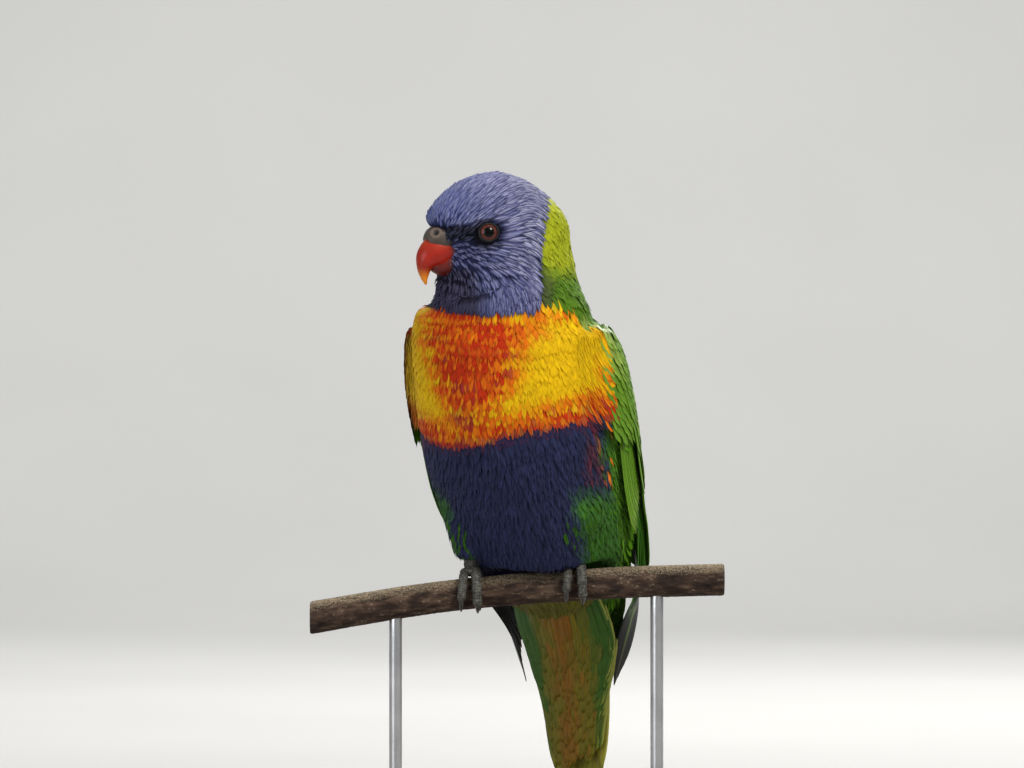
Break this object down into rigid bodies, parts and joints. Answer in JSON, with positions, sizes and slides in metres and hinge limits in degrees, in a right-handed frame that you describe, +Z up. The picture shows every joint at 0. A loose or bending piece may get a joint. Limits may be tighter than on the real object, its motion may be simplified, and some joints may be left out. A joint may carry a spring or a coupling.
{
  "type": "rainbow lorikeet model",
  "caption": "Life-size still model of a rainbow lorikeet gripping a cut perch, wings folded and head turned, on a round display stand with two rods.",
  "frame": {"origin": "middle of the underside of the stand's round base", "axes": "+Z up; the perch runs along X; the breast faces -Y and 24 degrees towards -X, and the head is turned further that way"},
  "size_m": [0.1612, 0.128, 0.2802],
  "materials": {
    "head_feathers": "matt",
    "green_feathers": "matt",
    "breast_feathers": "matt",
    "tail_feathers": "matt",
    "eye": "gloss",
    "bill": "satin",
    "bare_skin": "matt",
    "claw": "satin",
    "bark": "rough bark",
    "stand_wood": "satin",
    "stand_steel": "brushed"
  },
  "bodies": {
    "root": {"head": "head_feathers", "neck": "green_feathers", "torso": "breast_feathers", "thigh_left": "green_feathers", "thigh_right": "green_feathers", "wing_left": "green_feathers", "wing_right": "green_feathers", "tail": "tail_feathers", "eye_left": "eye", "eye_right": "eye", "upper_bill": "bill", "lower_bill": "bill", "cere": "bare_skin", "foot_left": "bare_skin", "foot_right": "bare_skin", "claw_left_1": "claw", "claw_left_2": "claw", "claw_left_3": "claw", "claw_left_4": "claw", "claw_right_1": "claw", "claw_right_2": "claw", "claw_right_3": "claw", "claw_right_4": "claw", "perch": "bark", "stand_base": "stand_wood", "stand_rod_left": "stand_steel", "stand_rod_right": "stand_steel"}
  },
  "joints": []
}
